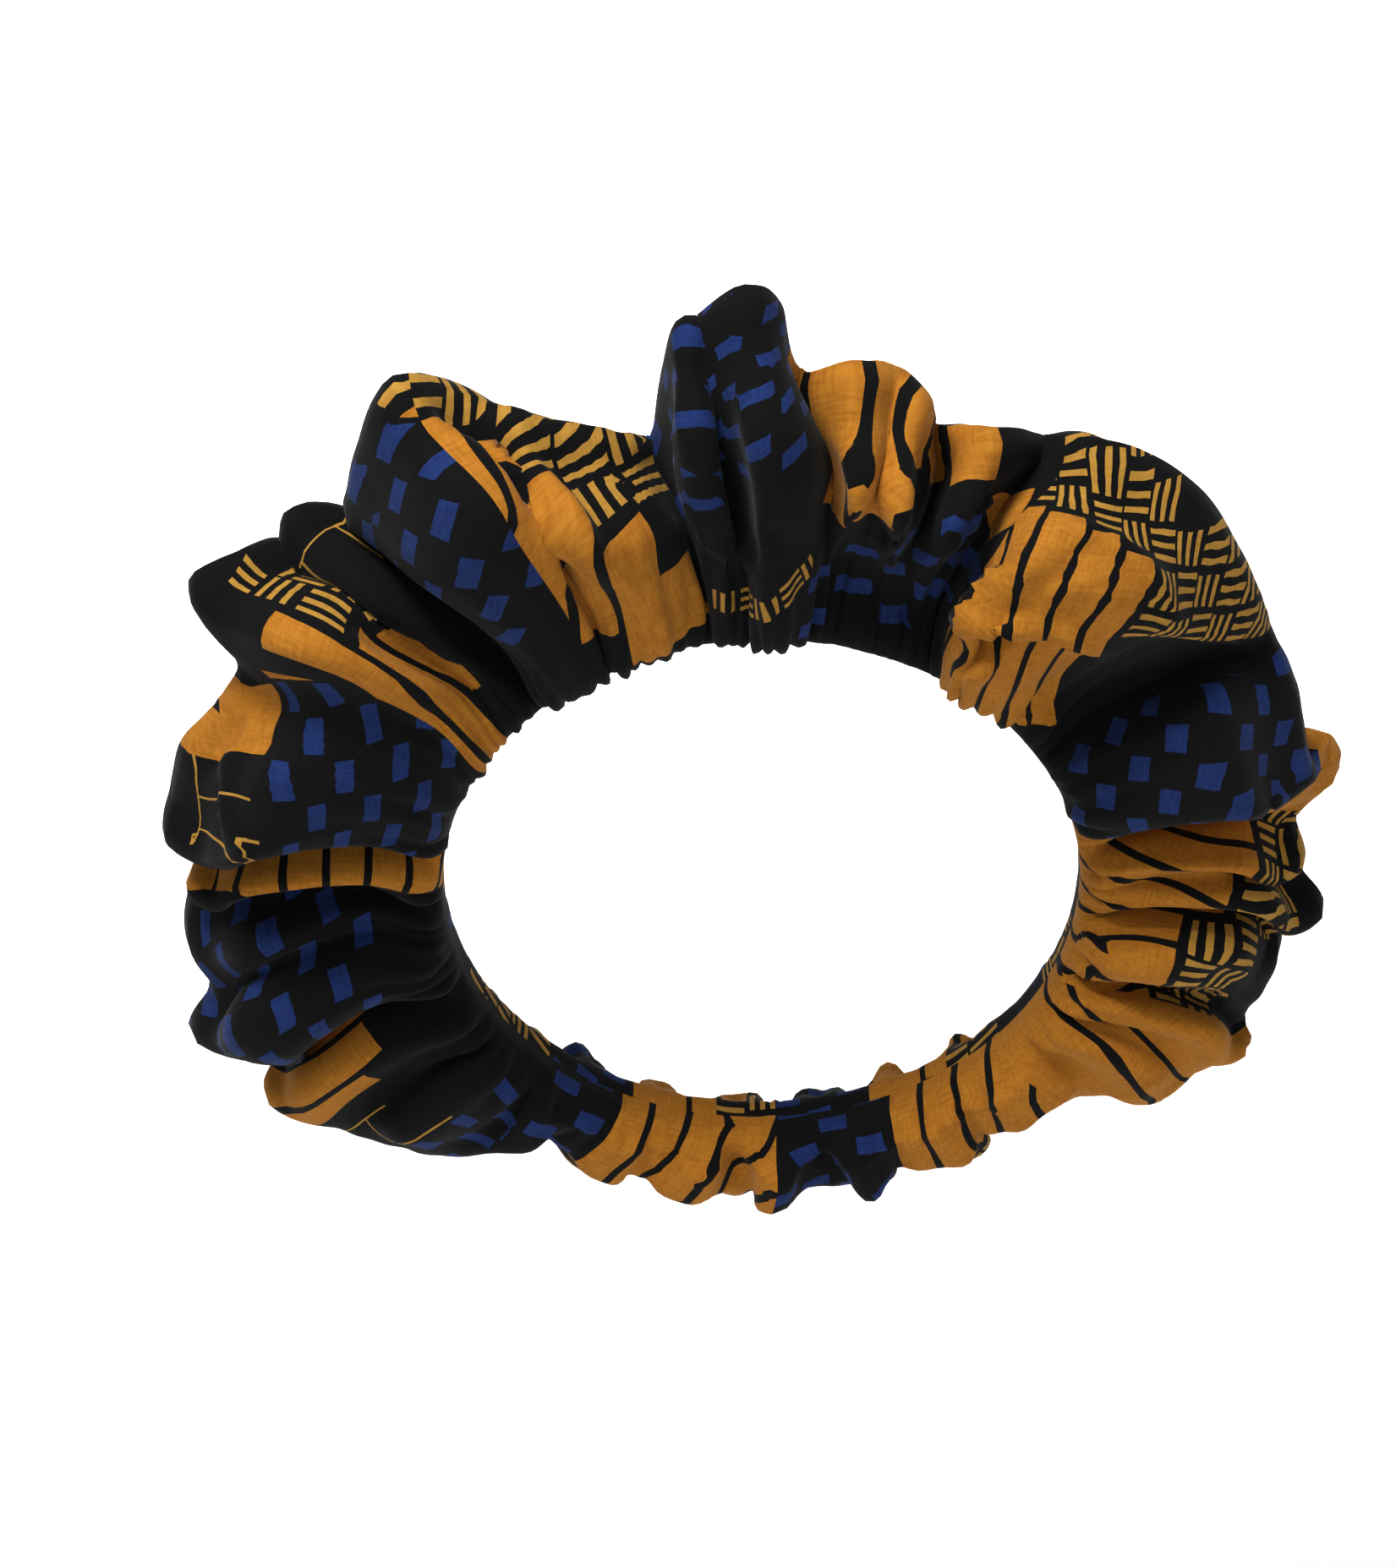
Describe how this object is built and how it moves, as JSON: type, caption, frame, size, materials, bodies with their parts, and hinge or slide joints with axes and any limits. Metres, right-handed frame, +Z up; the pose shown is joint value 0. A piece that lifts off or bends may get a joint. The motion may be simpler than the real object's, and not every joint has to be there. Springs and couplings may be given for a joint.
{
  "type": "puff headband",
  "caption": "Wide gathered cotton tube on an elastic ring, worn from the nape over the crown, with a bold geometric print and deep puffed folds.",
  "frame": {"origin": "centre of the head opening, on the ring plane of the elastic, where the band sits on a head", "axes": "+Z up as worn, +X to the right of the picture, -Y towards the front of the head; the ring plane leans 30 degrees, crown forward of nape"},
  "size_m": [0.3252, 0.1838, 0.2713],
  "materials": {
    "cover": "matte plain-weave printed cotton",
    "elastic": "matte woven elastic"
  },
  "bodies": {
    "root": {"cover": "cover", "elastic": "elastic"}
  },
  "joints": []
}
